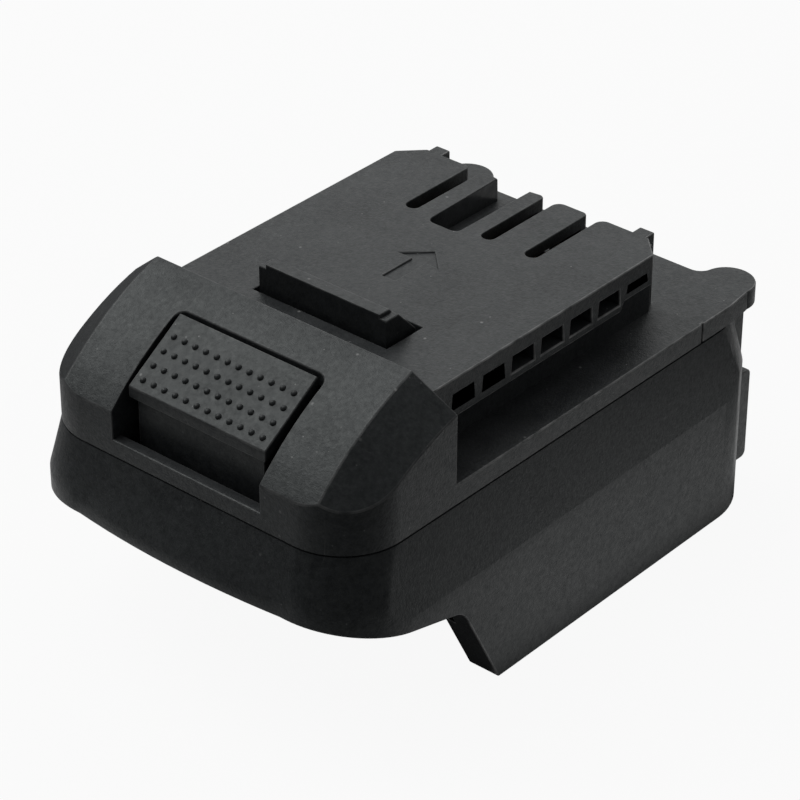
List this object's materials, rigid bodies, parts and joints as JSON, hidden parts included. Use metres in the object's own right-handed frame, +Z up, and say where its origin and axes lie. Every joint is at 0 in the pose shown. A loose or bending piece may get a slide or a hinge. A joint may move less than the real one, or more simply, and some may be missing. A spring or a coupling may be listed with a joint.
{
  "type": "tool battery adapter",
  "caption": "Black slide-on battery adapter for a cordless tool: T-rail with contact slots on top, sprung latch button at the front and an open battery bay below.",
  "frame": {"origin": "under the middle of the bounding box, on the plane of the skirts' feet", "axes": "+X across the case, +Y from the latch to the rear, +Z up through the tool rail"},
  "size_m": [0.0824, 0.1262, 0.0666],
  "materials": {
    "upper_plastic": "fine-grained black moulding",
    "lower_plastic": "fine-grained black moulding",
    "latch_plastic": "fine-grained dark grey moulding",
    "inner_plastic": "black glass-filled moulding",
    "spring_steel": "drawn wire",
    "screw_steel": "zinc plated",
    "contact_brass": "stamped sheet",
    "board": "green solder mask",
    "package": "moulded epoxy",
    "capacitor_sleeve": "shrink sleeve",
    "red_sleeve": "wire insulation",
    "black_sleeve": "wire insulation",
    "yellow_sleeve": "wire insulation"
  },
  "bodies": {
    "case": {"upper_shell": "upper_plastic", "lower_shell": "lower_plastic", "latch_spring_left": "spring_steel", "latch_spring_right": "spring_steel", "tool_clip_positive": "contact_brass", "tool_clip_signal": "contact_brass", "tool_clip_negative": "contact_brass", "clip_carrier": "inner_plastic", "battery_blade_positive": "contact_brass", "battery_blade_negative": "contact_brass", "battery_blade_signal": "contact_brass", "blade_block": "inner_plastic", "circuit_board": "board", "power_transistor": "package", "control_chip": "package", "filter_capacitor": "capacitor_sleeve", "red_wire": "red_sleeve", "black_wire_in": "black_sleeve", "black_wire_out": "black_sleeve", "signal_wire": "yellow_sleeve", "case_screws": "screw_steel", "carrier_screws": "screw_steel", "block_screws": "screw_steel", "board_screws": "screw_steel"},
    "latch": {"latch_button": "latch_plastic"}
  },
  "joints": [
    {"name": "latch_press", "type": "slide", "parent": "case", "child": "latch", "axis": [0, 0, -1], "range_m": [0, 0.006], "stiffness_N_per_m": 1200, "springref_m": -0.003, "deforming": ["latch_spring_left", "latch_spring_right"]}
  ]
}
